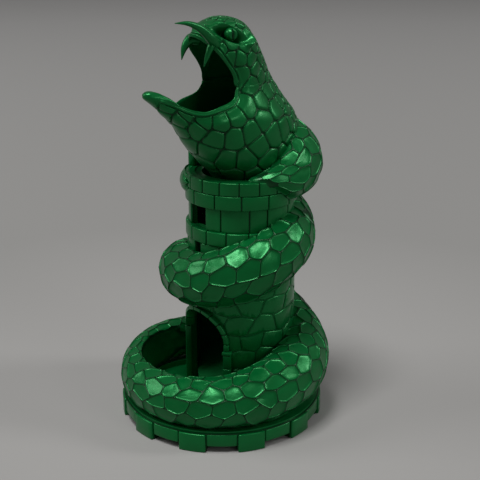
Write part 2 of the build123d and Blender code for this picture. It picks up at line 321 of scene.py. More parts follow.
def onSurface(surface, x, y, z, step=0.02):
    # the place at height z over a surface(x, y), with the surface's own normal pointing outwards
    here = surface(x, y)
    alongX = surface(x + step, y) - surface(x - step, y)
    alongY = surface(x, y + step) - surface(x, y - step)
    normal = np.cross(alongX, alongY)
    normal /= np.linalg.norm(normal, axis=1)[:, None] + 1e-12
    return here + normal * z[:, None]


# station: turn, reach of the middle from the axis, height, half width, half height, axis behind origin
climb = crownTop - baseTop


def onTower(turn, side, share, halfWidth, halfHeight):
    return (turn, towerRadius + side, baseTop + share * climb, halfWidth, halfHeight, towerBack)


def onBase(turn, inset, rise, halfWidth, halfHeight, back=0.0):
    return (turn, baseRadius - inset, baseTop + rise, halfWidth, halfHeight, back * towerBack)


def onCrown(turn, side, rise, halfWidth, halfHeight):
    return (turn, towerRadius + side, crownTop + rise, halfWidth, halfHeight, towerBack)


coilStations = [
    onTower(-12, -1.2, 0.961, 3.3, 4.6),
    onTower(-40, -1.4, 0.952, 5.6, 6.6),
    onTower(-85, -1.0, 0.925, 7.5, 7.5),
    onTower(-130, -0.5, 0.875, 9.6, 9.6),
    onTower(-175, -1.0, 0.806, 11.4, 11.4),
    onTower(-220, -2.4, 0.735, 12.2, 12.4),
    onTower(-265, -1.0, 0.687, 13.6, 15.3),
    onTower(-310, 0.6, 0.612, 13.8, 15.4),
    onTower(-355, 1.4, 0.557, 13.4, 13.2),
    onTower(-400, 1.5, 0.546, 13.2, 13.2),
    onTower(-445, 1.2, 0.506, 13.2, 13.2),
    onTower(-490, 1.4, 0.425, 13.4, 13.4),
    onBase(-535, 20.0, 32.7, 12.8, 14.0, 0.6),
    onBase(-580, 12.0, 19.2, 14.4, 15.0, 0.1),
    onBase(-625, 11.7, 13.7, 13.8, 14.2),
    onBase(-670, 12.0, 9.5, 12.4, 12.4),
    onBase(-715, 10.4, 9.1, 11.0, 11.4),
    onBase(-760, 8.8, 10.1, 8.9, 10.6),
    onBase(-805, 9.4, 11.3, 8.6, 10.6),
    onBase(-845, 9.0, 9.7, 7.4, 9.0, 0.1),
    onBase(-880, 7.0, 5.9, 4.6, 5.6, 0.1),
    onBase(-905, 5.8, 3.1, 1.6, 1.8, 0.1),
]
coilScales = {
    "rows": 12,
    "length": 9.6,  # of a scale along the outer side of the coil
    "jitter": (0.38, 0.20),
    "point": 0.18,
    "steps": [(0.11, -0.50), (0.12, 0.50), (0.24, 0.24), (1.1, 0.20)],
    "rounding": 0.05,
    "dome": 0.12,
    "tilt": 0.035,
    "uneven": 0.10,
    "girth": 82,  # round the coil, of the flat sheet that the scales are raised on
    "fullWidth": 26,  # a thinner coil has lower scales
    "leastRelief": 0.25,
    "seatSlack": 1.2,  # scales that the seat would move further than this aren't raised
}
trayPocket = {"centre": (-6.0, -8.0), "radius": 30.0, "top": 45.0}
hiddenRadius = towerRadius - 1.4  # coils are flattened against this inside the tower's wall
liftRadius = courseRadius + 0.35  # beside the crown they stay outside this


def coilAround(stations, length, rows):
    # a surface over half scales along the body and rows round it, evenly spaced on the outer side
    path = smoothPath(stations)
    t = np.linspace(0, len(stations) - 1, 2000)
    turn, reach, height, halfWidth, _, back = path(t).T
    outer = reach + 0.5 * halfWidth
    x, y = np.sin(np.radians(turn)) * outer, back - np.cos(np.radians(turn)) * outer
    run = np.concatenate([[0], np.cumsum(np.sqrt(np.diff(x) ** 2 + np.diff(y) ** 2 + np.diff(height) ** 2))])
    halves = 2 * round(run[-1] / length)

    def surface(column, row):
        share = np.interp(column / halves * run[-1], run, t)
        turn, reach, height, halfWidth, halfHeight, back = path(share).T
        angle = math.pi + 2 * math.pi * row / rows
        out = reach + halfWidth * np.cos(angle)
        turn = np.radians(turn)
        rise = height + halfHeight * np.sin(angle)
        return np.stack([np.sin(turn) * out, back - np.cos(turn) * out, rise], axis=1)

    return surface, halves


def seatOnTower(points):
    # flattens what would reach into the tower, the base or the tray's pocket
    x, y, z = points.T.copy()
    away = np.hypot(x, y - towerBack)
    least = np.interp(z, [corbelTop - 1.5, corbelTop - 0.5], [hiddenRadius, liftRadius])
    push = np.maximum(away, least) / np.maximum(away, 1e-6)
    x, y = x * push, towerBack + (y - towerBack) * push
    cx, cy = trayPocket["centre"]
    apart = np.hypot(x - cx, y - cy)
    inside = (apart < trayPocket["radius"]) & (z < trayPocket["top"]) & (np.hypot(x, y - towerBack) > towerRadius)
    grow = np.where(inside, trayPocket["radius"] / np.maximum(apart, 1e-6), 1)
    x, y = cx + (x - cx) * grow, cy + (y - cy) * grow
    z = np.maximum(z, baseTop - 0.2)
    return np.stack([x, y, z], axis=1)


def makeCoil(name, surface, first, last, body, replaced, scales, seat, seed=7, plain=(0, 0)):
    rows = scales["rows"]
    bricks = {
        "from": first,
        "to": last,
        "rows": rows,
        "ring": rows,
        "seed": seed,
        "jitter": scales["jitter"],
        "point": scales["point"],
        "pitch": (scales["length"] / 2, scales["girth"] / rows),
    }
    bm = flatBricks(bricks)
    pitchX, pitchY = bricks["pitch"]
    seen = []
    for face in bm.faces:
        middle = face.calc_center_median()
        spot = surface(np.array([middle.x / pitchX]), np.array([middle.y / pitchY]))
        bare = middle.x / pitchX < first + plain[0] or middle.x / pitchX > last - plain[1]
        if np.abs(seat(spot) - spot).max() < scales["seatSlack"] and not bare:
            seen.append(face)
    raisePlates(bm, seen, scales, seed)

    def place(x, y, z):
        column, row = x / pitchX, y / pitchY
        across = np.linalg.norm(surface(column, row) - surface(column, row + rows / 2), axis=1)
        relief = np.clip(across / scales["fullWidth"], scales["leastRelief"], 1)
        return seat(onSurface(surface, column, row, z * relief))

    moveAll(bm, place, mm)
    bmesh.ops.remove_doubles(bm, verts=bm.verts, dist=weld)
    bmesh.ops.holes_fill(bm, edges=[e for e in bm.edges if e.is_boundary], sides=0)
    addPiece(name, bm, body, [replaced], scaleSkin, levels=1)


coilSurface, coilHalves = coilAround(coilStations, coilScales["length"], coilScales["rows"])
coilEnds = (0.19, 0.53)  # where the upper coil ends and where the middle one does, along the body
cutA, cutB = (2 * round(coilHalves * share / 2) for share in coilEnds)
makeCoil("upperCoil", coilSurface, 0, cutA, "tower", "upper_coil", coilScales, seatOnTower, plain=(5, 0))
makeCoil("middleCoil", coilSurface, cutA, cutB, "tower", "mid_coil", coilScales, seatOnTower)
makeCoil("trayCoil", coilSurface, cutB, coilHalves, "tower", "tray_coil", coilScales, seatOnTower)
print("coils made,", coilHalves // 2, "scales long")

neckStations = [
    onCrown(248, -20.0, 24.0, 7.0, 7.0),
    onCrown(222, -9.0, 19.0, 11.0, 11.0),
    onCrown(196, -4.4, 14.2, 13.4, 13.4),
    onCrown(170, -2.5, 9.2, 14.6, 14.6),
    onCrown(140, -2.0, 3.7, 14.8, 15.0),
    onCrown(116, -2.4, -0.2, 11.4, 11.4),
    onCrown(101, -2.2, -1.4, 8.6, 8.6),
    onCrown(86, -2.2, 0.2, 5.8, 4.9),
    onCrown(72, -3.3, -0.6, 4.2, 3.5),
    onCrown(57, -3.4, -1.4, 2.9, 2.6),
]
neckScales = dict(coilScales, length=9.4)
corbelGap = 0.12  # the neck's coil lies this far above the corbel


def seatOnCorbel(points):
    # keeps the neck's coil off the corbel below it: out past its edge, or up on its top
    x, y, z = points.T.copy()
    away = np.hypot(x, y - towerBack)
    out, up = liftRadius - away, corbelTop + corbelGap - z
    inside = (out > 0) & (up > 0)
    push = np.where(inside & (out < up) & (away > towerRadius - 3), liftRadius / np.maximum(away, 1e-6), 1)
    x, y = x * push, towerBack + (y - towerBack) * push
    z = np.where(inside & (push == 1), corbelTop + corbelGap, z)
    return np.stack([x, y, z], axis=1)


neckSurface, neckHalves = coilAround(neckStations, neckScales["length"], neckScales["rows"])
makeCoil("neckCoil", neckSurface, 0, neckHalves, "head_section", "neck_coil", neckScales, seatOnCorbel, 21, (0, 2))
print("neck coil made,", neckHalves // 2, "scales long")


blockCut = 4  # degrees; a block bends with the ring in steps of about this


def addBlocks(bm, spans, radius, bottom, top, depth, joint):
    # blocks in flat space: x along the outer face, y outwards, z up; spans are turns from the front
    for start, end in spans:
        length = math.radians(end - start) * radius - joint
        middle = math.radians(start + end) / 2 * radius
        made = bmesh.ops.create_cube(bm, size=1)["verts"]
        bmesh.ops.scale(bm, verts=made, vec=(length, depth, top - bottom))
        bmesh.ops.translate(bm, verts=made, vec=(middle, -depth / 2, (top + bottom) / 2))
        along = [e for e in bm.edges if e.verts[0] in made and abs(e.verts[0].co.x - e.verts[1].co.x) > 0.9 * length]
        if along:
            bmesh.ops.subdivide_edges(bm, edges=along, cuts=max(2, round(math.degrees(length / radius) / blockCut)))


def softenBlocks(bm, width, seed, wear):
    # rounds the blocks' edges and moves each vert a little
    sharp = [e for e in bm.edges if len(e.link_faces) == 2 and e.calc_face_angle() > 0.6]
    bmesh.ops.bevel(
        bm, geom=sharp, offset=width, segments=3, profile=0.5, affect="EDGES", material=-1, clamp_overlap=True
    )
    dice = random.Random(seed)
    for vert in bm.verts:
        vert.co += Vector(dice.uniform(-1, 1) for _ in range(3)) * wear


def bendRound(radius, behind):
    def place(x, y, z):
        turn = x / radius
        out = radius + y
        return np.stack([np.sin(turn) * out, behind - np.cos(turn) * out, z], axis=1)

    return place


def addBacking(bm, radius, inner, bottom, top, behind, start=0.0, end=360.0):
    # the plain ring behind the blocks, in real space (mm), in steps of 5 degrees; its outer face is painted dark as
    # shade in the joints between the blocks
    ring = bmesh.new()
    bmesh.ops.create_grid(ring, x_segments=round((end - start) / 5), y_segments=4, size=0.5)
    layer = grooveShadeLayer(ring)
    for vert in ring.verts:
        turn = math.radians(start + (vert.co.x + 0.5) * (end - start))
        corner = round((vert.co.y + 0.5) * 4) % 4
        out = radius if corner in (1, 2) else inner
        height = top if corner in (2, 3) else bottom
        vert.co = (math.sin(turn) * out, behind - math.cos(turn) * out, height)
        # painted shade on the ring's outer face, seen between the blocks
        vert[layer] = 1.0 if out == radius else 0.0
    bmesh.ops.remove_doubles(ring, verts=ring.verts, dist=0.001)
    if end - start < 359:
        bmesh.ops.holes_fill(ring, edges=[e for e in ring.edges if e.is_boundary], sides=0)
    joinPart(bm, ring)


def course(name, body, replaced, look):
    bm = bmesh.new()
    addBlocks(bm, look["spans"], look["radius"], look["bottom"], look["top"], look["depth"], look["joint"])
    softenBlocks(bm, look["bevel"], 3, look["wear"])
    moveAll(bm, bendRound(look["radius"], towerBack))
    bottom, top = look["bottom"] + look["lipDown"], look["top"] - look["lipDown"]
    addBacking(bm, look["radius"] - look["sunk"], look["inner"], bottom, top, towerBack, *look["backing"])
    resize(bm, mm)
    return addPiece(name, bm, body, [replaced], stoneSkin)


def evenSpans(first, width, count):
    return [(first + n * width, first + (n + 1) * width) for n in range(count)]


boreRadius = towerRadius - 3.5
sillLook = {
    "spans": evenSpans(12.2, 22.5, 16),
    "radius": courseRadius,
    "inner": boreRadius,
    "bottom": shaftTop,
    "top": sillTop,
    "depth": 3.0,
    "joint": 0.55,
    "bevel": 0.42,
    "wear": 0.03,
    "sunk": 0.75,  # how far the ring behind the blocks is from their face
    "lipDown": 0.12,
    "backing": (0.0, 360.0),
}
corbelLook = dict(sillLook, spans=evenSpans(22.5, 360 / 13, 13), bottom=corbelBottom, top=corbelTop)
lanternSpans = [
    (8.2, 27.8), (27.8, 58.4), (58.4, 78.2), (78.2, 108.8), (108.8, 128.6), (128.6, 159.2), (159.2, 179.0),
    (179.0, 209.6), (209.6, 229.4), (229.4, 260.0), (260.0, 279.8), (279.8, 310.4), (310.4, 340.6),
]
lanternLook = dict(
    sillLook,
    spans=lanternSpans,
    radius=lanternRadius,
    bottom=sillTop,
    top=corbelBottom,
    backing=(8.2, 340.6),
    joint=0.6,
)
course("sillCourse", "tower", "sill_course", sillLook)
course("corbelCourse", "tower", "corbel_course", corbelLook)
course("lanternBlocks", "tower", "lantern", lanternLook)
print("courses made")

shaftStones = {
    "from": 0,
    "to": 24,
    "around": 24,
    "rows": 9,
    "seed": 5,
    "jitter": (0.42, 0.17),
    "point": 0.05,
    "pitch": (2 * math.pi * towerRadius / 24, (shaftTop - baseTop) / 9),
    "steps": [(0.2, -0.32), (0.14, 0.32), (0.3, 0.22)],
    "rounding": 0.06,
    "dome": 0.05,
    "tilt": 0.012,
    "uneven": 0.08,
    "proud": 0.14,
    "thick": 0.9,
    "cuts": 3,  # into each half brick, so that it bends with the shaft
}
door = {
    "half": 13.8,
    "spring": 40.3,
    "band": 1.9,
    "proud": 2.2,
    "jambBand": 2.7,
    "jambProud": 3.2,
    "jambTop": 37.0,
    "jambJoints": (baseTop - 0.2, 19.0, 28.0),
    "capital": 1.8,
    "stones": 9,
    "sunk": 2.4,
    "joint": 0.4,
    "bevel": 0.3,
    "wear": 0.03,
}
slit = {"side": -1.2, "half": 2.0, "bottom": shaftTop - 10.0}


def clearOfDoor(x, z):
    # moves a spot on the shaft out of the doorway and the slit; x runs round the shaft in mm
    turn = (x / towerRadius + math.pi) % (2 * math.pi) - math.pi
    if abs(turn) > math.pi / 2:
        return x, z
    side, band = towerRadius * math.sin(turn), door["half"] + door["band"] * 0.6
    inside = abs(side) < band and z < door["spring"]
    height = z - door["spring"]
    over = z >= door["spring"] and math.hypot(side, height) < band
    if inside:
        side = math.copysign(band, side)
    elif over:
        scale = band / max(math.hypot(side, height), 1e-6)
        side, z = side * scale, door["spring"] + height * scale
    apart = side - slit["side"]
    if z > slit["bottom"] and abs(apart) < slit["half"]:
        if z - slit["bottom"] < slit["half"] - abs(apart):
            z = slit["bottom"]
        else:
            side = slit["side"] + math.copysign(slit["half"], apart)
    fresh = math.asin(max(-1, min(1, side / towerRadius)))
    return x + (fresh - turn) * towerRadius, z


def makeShaftStones(look):
    bm = flatBricks(look)
    left = (math.asin((slit["side"] - slit["half"]) / towerRadius) % (2 * math.pi)) * towerRadius
    right = (math.asin((slit["side"] + slit["half"]) / towerRadius) % (2 * math.pi)) * towerRadius
    for x in (left, right, right + 2 * math.pi * towerRadius):
        # the stones beside the slit are cut along its sides
        close = []
        for face in bm.faces:
            middle = face.calc_center_median()
            if middle.y + baseTop > slit["bottom"] - 4 and abs(middle.x - x) < 14:
                close.append(face)
        around = close + list({e for f in close for e in f.edges}) + list({v for f in close for v in f.verts})
        bmesh.ops.bisect_plane(bm, geom=around, plane_co=(x, 0, 0), plane_no=(1, 0, 0), dist=1e-4)
    hidden = []
    for face in bm.faces:
        middle = face.calc_center_median()
        x, z = clearOfDoor(middle.x, middle.y + baseTop)
        if abs(x - middle.x) + abs(z - middle.y - baseTop) > 0.01:
            hidden.append(face)
    bmesh.ops.delete(bm, geom=hidden, context="FACES")
    for vert in bm.verts:
        vert.co.x, z = clearOfDoor(vert.co.x, vert.co.y + baseTop)
        vert.co.y = z - baseTop
    bmesh.ops.dissolve_degenerate(bm, dist=0.05, edges=bm.edges)
    raisePlates(bm, list(bm.faces), look, look["seed"])
    step = look["pitch"][0] / look["cuts"]
    for n in range(1, look["cuts"] * (look["to"] + 1) + 1):
        whole = bm.verts[:] + bm.edges[:] + bm.faces[:]
        bmesh.ops.bisect_plane(bm, geom=whole, plane_co=(n * step, 0, 0), plane_no=(1, 0, 0), dist=1e-4)

    def place(x, y, z):
        turn, out = x / towerRadius, towerRadius + look["proud"] + z
        return np.stack([np.sin(turn) * out, towerBack - np.cos(turn) * out, y + baseTop], axis=1)

    moveAll(bm, place, mm)
    bmesh.ops.remove_doubles(bm, verts=bm.verts, dist=0.02 * mm)
    bmesh.ops.recalc_face_normals(bm, faces=bm.faces)
    outside = 0
    for face in bm.faces:
        x, y, _ = face.calc_center_median()
        outside += face.normal.dot(Vector((x, y - towerBack * mm, 0))) > 0
    if outside < len(bm.faces) / 2:
        bmesh.ops.reverse_faces(bm, faces=bm.faces)
    bmesh.ops.solidify(bm, geom=bm.faces[:], thickness=look["thick"] * mm)
    addPiece("shaftStones", bm, "tower", [], stoneSkin)


def onShaftWall(across, outwards, height):
    # a spot on the front of the shaft: across from its middle, out from its face, up from the ground
    turn = np.arcsin(np.clip(across / towerRadius, -1, 1))
    out = towerRadius + outwards
    return np.stack([np.sin(turn) * out, towerBack - np.cos(turn) * out, height], axis=1)


def makeArch(look):
    # the arch's stones and the plain strip behind them; the strip is painted dark all over as shade between the
    # stones
    middle, band = look["half"] + look["band"] / 2, look["band"] / 2

    def bendOver(x, y, z):
        angle, reach = x / middle, middle + z
        return onShaftWall(np.sin(angle) * reach, y + look["proud"], look["spring"] + np.cos(angle) * reach)

    bm = bmesh.new()
    spans = evenSpans(-90, 180 / look["stones"], look["stones"])
    addBlocks(bm, spans, middle, -band, band, look["proud"] + look["sunk"], look["joint"])
    softenBlocks(bm, look["bevel"], 4, look["wear"])
    moveAll(bm, bendOver)
    strip = bmesh.new()
    addBlocks(strip, [(-90, 90)], middle, 0.3 - band, band - 0.3, look["proud"] + look["sunk"] - 0.4, 0.0)
    bmesh.ops.translate(strip, verts=strip.verts, vec=(0, -0.4, 0))
    moveAll(strip, bendOver)
    # painted shade over the whole strip
    layer = grooveShadeLayer(strip)
    for vert in strip.verts:
        vert[layer] = 1.0
    joinPart(bm, strip)
    return bm


def makeJambs(look):
    # each part is its bottom, its top and how much wider and deeper it is; a negative one is a plain strip
    capital = look["jambTop"] - look["capital"]
    joints = [*look["jambJoints"], capital]
    right = [(low, high, 0.0) for low, high in zip(joints, joints[1:])]
    right += [(capital, look["jambTop"], 0.35), (look["jambTop"], look["spring"], -1.0)]
    left = [(joints[0], look["spring"], -1.0)]
    bm = bmesh.new()
    for side, parts, sunk in ((-1, left, 0.8), (1, right, look["sunk"])):
        for low, high, extra in parts:
            wide = look["band"] if extra < 0 else look["jambBand"]
            deep = sunk + (look["proud"] if extra < 0 else look["jambProud"] + extra)
            made = bmesh.ops.create_cube(bm, size=1)["verts"]
            bmesh.ops.scale(bm, verts=made, vec=(wide + 2 * max(extra, 0), deep, high - low - 0.25))
            middle = side * (look["half"] + wide / 2)
            bmesh.ops.translate(bm, verts=made, vec=(middle, deep / 2 - sunk, (low + high) / 2))
    softenBlocks(bm, look["bevel"] + 0.05, 6, look["wear"])
    moveAll(bm, onShaftWall)
    return bm


def makeDoor(look):
    bm = makeArch(look)
    joinPart(bm, makeJambs(look))
    resize(bm, mm)
    addPiece("doorStones", bm, "tower", ["door_arch"], stoneSkin)


makeShaftStones(shaftStones)
makeDoor(door)
print("shaft stones and door made")

baseLook = {
    "feet": 11,
    "firstFoot": 2.0,
    "footWidth": 15.6,
    "footBottom": 0.0,
    "plateBottom": 3.0,
    "lipTop": baseTop,
    "blockTop": baseTop - 1.2,
    "blockDepth": 7.0,
    "joint": 0.5,
    "bevel": 0.6,
    "wear": 0.04,
    "gapSunk": 0.7,  # how far the blocks between the feet stand back
    "coreRadius": baseRadius - 1.5,
    "lipRadius": baseRadius - 1.7,
}


def makeBase(look):
    bm = bmesh.new()
    pitch, wide = 360 / look["feet"], look["footWidth"]
    middles = [look["firstFoot"] + n * pitch for n in range(look["feet"])]
    feet = [(middle - wide / 2, middle + wide / 2) for middle in middles]
    gaps = [(end, end + pitch - wide) for _, end in feet]
    for spans, bottom in ((feet, look["footBottom"]), (gaps, look["plateBottom"])):
        addBlocks(bm, spans, baseRadius, bottom, look["blockTop"], look["blockDepth"], look["joint"])
    softenBlocks(bm, look["bevel"], 5, look["wear"])

    def place(x, y, z):
        apart = np.abs((np.degrees(x / baseRadius) - look["firstFoot"] + pitch / 2) % pitch - pitch / 2)
        y = y - np.where(apart > wide / 2, look["gapSunk"], 0.0)
        return bendRound(baseRadius, 0.0)(x, y, np.maximum(z, 0))

    moveAll(bm, place)
    addBacking(bm, baseRadius - 0.9, baseRadius - 6, look["blockTop"] - 0.1, look["blockTop"] + 0.4, 0.0)
    resize(bm, mm)
    # the plate itself, drawn in behind the blocks; below its lip it is painted dark as shade behind them
    core = bmesh.new()
    core.from_mesh(nodes["base_plate"].data)
    bmesh.ops.remove_doubles(core, verts=core.verts, dist=0.01 * mm)
    layer = grooveShadeLayer(core)
    for vert in core.verts:
        away = math.hypot(vert.co.x, vert.co.y)
        if away > (baseRadius - 2) * mm:
            below = vert.co.z < (look["lipTop"] - 0.5) * mm
            aim = look["coreRadius"] if below else look["lipRadius"]
            vert.co.x *= aim * mm / away
            vert.co.y *= aim * mm / away
            # painted shade below the lip, behind the blocks
            vert[layer] = 1.0 if below else 0.0
    joinPart(bm, core)
    addPiece("baseBlocks", bm, "tower", ["base_plate"], stoneSkin)


makeBase(baseLook)
print("base made")

crownLook = dict(
    sillLook,
    spans=evenSpans(7.8, 20.0, 18),
    bottom=corbelTop + 0.15,
    top=crownTop,
    sunk=0.6,
    bevel=0.5,
    joint=0.5,
)
merlonLook = {"turns": (-66, -102, -138), "wide": 22, "top": crownTop + 8.0, "bevel": 1.7, "wear": 0.04}
spigot = {"radius": towerRadius - 3.8, "inner": towerRadius - 7.0, "bottom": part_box("crown_ring")[0].z / mm}


def makeCrown(look):
    # a course of blocks, with the spigot that sits in the tower's bore
    crown = course("crownBlocks", "head_section", "crown_ring", look)
    bm = bmesh.new()
    bm.from_mesh(crown.data)
    resize(bm, 1 / mm)
    addBacking(bm, spigot["radius"], spigot["inner"], spigot["bottom"], crownTop - 0.5, towerBack)
    resize(bm, mm)
    shadeSmooth(bm, True)
    bm.to_mesh(crown.data)
    bm.free()


def makeMerlons(look):
    bm = bmesh.new()
    spans = [(turn - look["wide"] / 2, turn + look["wide"] / 2) for turn in look["turns"]]
    addBlocks(bm, spans, courseRadius, crownTop - 0.6, look["top"], courseRadius - boreRadius - 0.6, 0.0)
    softenBlocks(bm, look["bevel"], 9, look["wear"])
    moveAll(bm, bendRound(courseRadius, towerBack))
    resize(bm, mm)
    addPiece("crownMerlons", bm, "head_section", ["crown_merlons"], stoneSkin)


makeCrown(crownLook)
makeMerlons(merlonLook)
print("crown made")


# levels of the head: height, front, back, half width
jawLevels = [
    (115.0, 1.0, 26.5, 14.2),
    (119.7, -2.5, 30.0, 16.4),
    (124.0, -6.8, 35.0, 18.2),
    (128.0, -11.2, 40.5, 19.3),
    (136.0, -18.3, 46.0, 20.4),
    (146.0, -25.5, 42.6, 20.0),
    (154.0, -34.0, 36.4, 17.6),
    (158.0, -38.9, 33.4, 16.5),
    (160.2, -41.7, 31.8, 16.0),
    (161.4, -42.3, 30.9, 15.75),
    (163.0, -41.8, 29.8, 15.5),
    (166.0, -38.6, 28.0, 15.0),
]
skullLevels = [
    (150.0, -30.0, 39.6, 18.8),
    (154.0, -34.0, 36.4, 17.6),
    (158.0, -38.9, 33.4, 16.5),
    (163.0, -41.8, 29.8, 15.5),
    (167.0, -32.5, 26.9, 15.1),
    (172.0, -25.5, 24.2, 14.9),
    (180.0, -17.9, 19.4, 14.3),
    (185.0, -16.8, 16.2, 12.7),
    (188.8, -12.9, 13.0, 10.5),
    (190.8, -9.0, 10.0, 8.4),
    (192.1, -5.2, 6.6, 6.0),
    (192.8, -2.4, 3.6, 3.4),
    (193.0, 0.4, 0.6, 0.02),
]
lowerLip = [
    (-43.5, 162.6), (-41.0, 162.2), (-39.8, 161.2), (-37.9, 160.4), (-35.8, 159.5), (-32.0, 157.4), (-28.4, 155.2),
    (-25.5, 153.7), (-23.0, 152.8), (-19.7, 152.4), (-17.8, 152.7), (-15.7, 153.3), (-12.8, 154.2), (-9.5, 155.0),
    (-6.7, 155.8), (-4.2, 156.9), (-2.4, 158.3), (-1.2, 160.3), (-0.7, 161.8), (-0.5, 163.0),
]
upperLip = [
    (-21.0, 189.0), (-16.6, 186.4), (-14.2, 184.2), (-12.2, 182.2), (-10.0, 179.8), (-8.4, 177.6), (-6.2, 174.7),
    (-3.8, 171.5), (-2.1, 169.1), (-1.1, 167.1), (-0.6, 164.9), (-0.5, 163.0),
]
headLook = {
    "columns": 440,  # of verts round the head
    "wall": 2.6,
    "palate": 185.0,
    "chin": 7.5,  # solid length behind the tip of the lower jaw
    "lipPinch": 2.0,
    "lipReach": 6.5,
    "parting": 163.0,
    "bottom": 116.2,
    "snoutPower": 0.86,
    "snoutTaper": 0.36,
    "mouthTaper": 0.13,
    "jawTaper": 0.34,
    "groove": (0.12, 0.42, 0.78),  # half width of a groove's floor, where its wall ends, and its depth
    "crown": (0.32, 1.4),  # how far a scale swells, and over what distance
    "seed": 11,
}


def levelAt(levels, z):
    return [np.interp(z, [r[0] for r in levels], [r[i] for r in levels]) for i in (1, 2, 3)]


def softLevels(levels):
    # the same levels, closely spaced and rounded between
    rows = np.array(levels)
    path = smoothPath(rows)
    fine = path(np.linspace(0, len(rows) - 1, 12 * len(rows)))
    fine[:, 0] = np.maximum.accumulate(fine[:, 0] + np.arange(len(fine)) * 1e-6)
    return [tuple(row) for row in fine]


jawLevels, skullLevels = softLevels(jawLevels), softLevels(skullLevels)


def headPoint(levels, turn, z, inside=0.0, chin=0.0):
    # a spot on the head, turn measured from the mouth; inside draws it in by the wall, chin from the front
    front, back, half = levelAt(levels, z)
    front, back, half = front + inside + chin, back - inside, np.maximum(half - inside, 0.01)
    middle, reach = (front + back) / 2, np.maximum((back - front) / 2, 0.01)
    power = np.interp(z, [164, 178, 190, 193.4], [1.0, headLook["snoutPower"], headLook["snoutPower"], 1.0])
    forward = np.cos(turn) > 0
    power = np.where(forward, power, 1.0)
    across = np.sign(np.sin(turn)) * np.abs(np.sin(turn)) ** power
    along = np.sign(np.cos(turn)) * np.abs(np.cos(turn)) ** power
    x, y = half * across, middle - reach * along
    x = x * (1 - headLook["snoutTaper"] * smoothStep(4, 17, -y) * smoothStep(178, 186, z))
    x = x * (1 - headLook["mouthTaper"] * smoothStep(-8, 7, -y) * smoothStep(154, 163, z))
    x = x * (1 - headLook["jawTaper"] * smoothStep(12, 40, -y) * (z < 170))
    return np.stack([x, y, z + 0 * x], axis=-1)


def lipHeights(turns):
    # where the lower and the upper lip run, for each turn round the head
    z = np.linspace(148, 192, 3000)
    grid = np.repeat(z[None, :], len(turns), axis=0)
    low = headPoint(jawLevels, turns[:, None], grid)[..., 1]
    high = headPoint(skullLevels, turns[:, None], grid)[..., 1]
    lowLine = np.interp(low, [p[0] for p in lowerLip], [p[1] for p in lowerLip])
    above = grid >= np.minimum(lowLine, headLook["parting"] + 100 * (low < -0.7))
    lower = z[np.argmax(above, axis=1)]
    highLine = np.interp(high, [p[0] for p in upperLip], [p[1] for p in upperLip])
    below = (grid < highLine) | (grid < headLook["parting"])
    lastBelow = len(z) - 1 - np.argmax(below[:, ::-1], axis=1)
    upper = z[np.minimum(lastBelow + 1, len(z) - 1)]
    for line in (lower, upper):
        mouth = np.abs(line - headLook["parting"]) > 0.1
        line[~mouth] = headLook["parting"]
        inner = mouth[1:-1] & mouth[:-2] & mouth[2:]
        for _ in range(10):
            smoother = (line[:-2] + 2 * line[1:-1] + line[2:]) / 4
            line[1:-1] = np.where(inner, smoother, line[1:-1])
    return lower, upper


turns = np.linspace(-math.pi, math.pi, headLook["columns"] + 1)
lowerLipHeight, upperLipHeight = lipHeights(turns)


def mouthEdge():
    # the whole edge of the mouth as points, both lips together
    low = headPoint(jawLevels, turns, lowerLipHeight)[lowerLipHeight < headLook["parting"] - 0.05]
    high = headPoint(skullLevels, turns, upperLipHeight)[upperLipHeight > headLook["parting"] + 0.05]
    return np.concatenate([low, high])


def fromEdge(points, edge):
    # how far each point is from the mouth's edge
    flat, best = points.reshape(-1, 3), []
    for start in range(0, len(flat), 8000):
        part = flat[start : start + 8000]
        best.append(np.sqrt(((part[:, None, :] - edge[None]) ** 2).sum(axis=2).min(axis=1)))
    return np.concatenate(best).reshape(points.shape[:-1])


lipEdge = mouthEdge()


def gridPiece(points, groove, name, body, replaced):
    # a grid of points (rows, columns, 3) in mm, its last column on its first, as a closed piece
    rows, columns = points.shape[:2]
    points[:, -1] = points[:, 0]
    bm = bmesh.new()
    bmesh.ops.create_grid(bm, x_segments=columns - 1, y_segments=rows - 1, size=0.5)
    layer = grooveShadeLayer(bm)
    for vert in bm.verts:
        column = round((vert.co.x + 0.5) * (columns - 1))
        row = round((vert.co.y + 0.5) * (rows - 1))
        vert.co = points[row, column] * mm
        # groove carries each point's painted shade
        vert[layer] = groove[row, column]
    bmesh.ops.remove_doubles(bm, verts=bm.verts, dist=weld)
    bmesh.ops.dissolve_degenerate(bm, dist=4 * weld, edges=bm.edges)
    addPiece(name, bm, body, replaced, scaleSkin)


def spacingAt(p):
    # how far apart the scales' middles are over the head
    base = np.interp(p[..., 2], [118, 132, 146, 158, 170, 182, 193], [10.6, 10.6, 9.6, 8.0, 6.8, 5.8, 4.4])
    front, back, _ = levelAt(skullLevels, np.minimum(p[..., 2], 193))
    spine = smoothStep(0.76, 0.92, (p[..., 1] - front) / np.maximum(back - front, 1)) * (p[..., 2] > 140)
    return base * (1 - 0.48 * spine)


